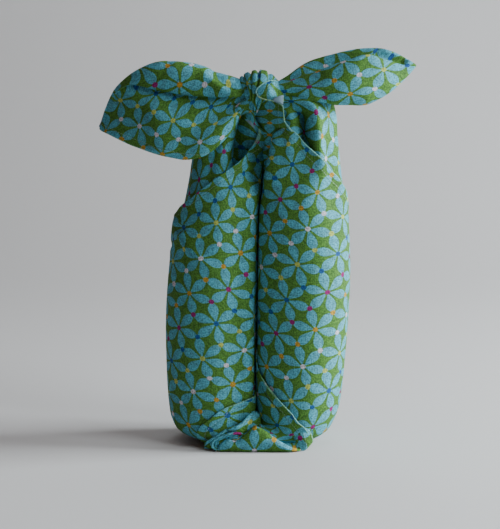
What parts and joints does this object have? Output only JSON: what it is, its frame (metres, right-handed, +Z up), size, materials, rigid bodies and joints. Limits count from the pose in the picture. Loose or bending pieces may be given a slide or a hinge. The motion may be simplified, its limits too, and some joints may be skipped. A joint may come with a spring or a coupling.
{
  "type": "furoshiki wrap",
  "caption": "Square printed cotton wrapping cloth rolled on the diagonal, bent upright as a bottle wrap and knotted on top, its free corners standing out as ears.",
  "frame": {"origin": "middle of the flat underside, between the rolls, where it stands on a table", "axes": "+X to the right as seen from the front, +Y away from the front, +Z up from the base to the knot"},
  "size_m": [0.2711, 0.0995, 0.3466],
  "materials": {
    "printed_cotton": "matt plain-weave cotton, floral print on one face, pale wrong side, narrow stitched hem"
  },
  "bodies": {
    "root": {"furoshiki_cloth": "printed_cotton"}
  },
  "joints": []
}
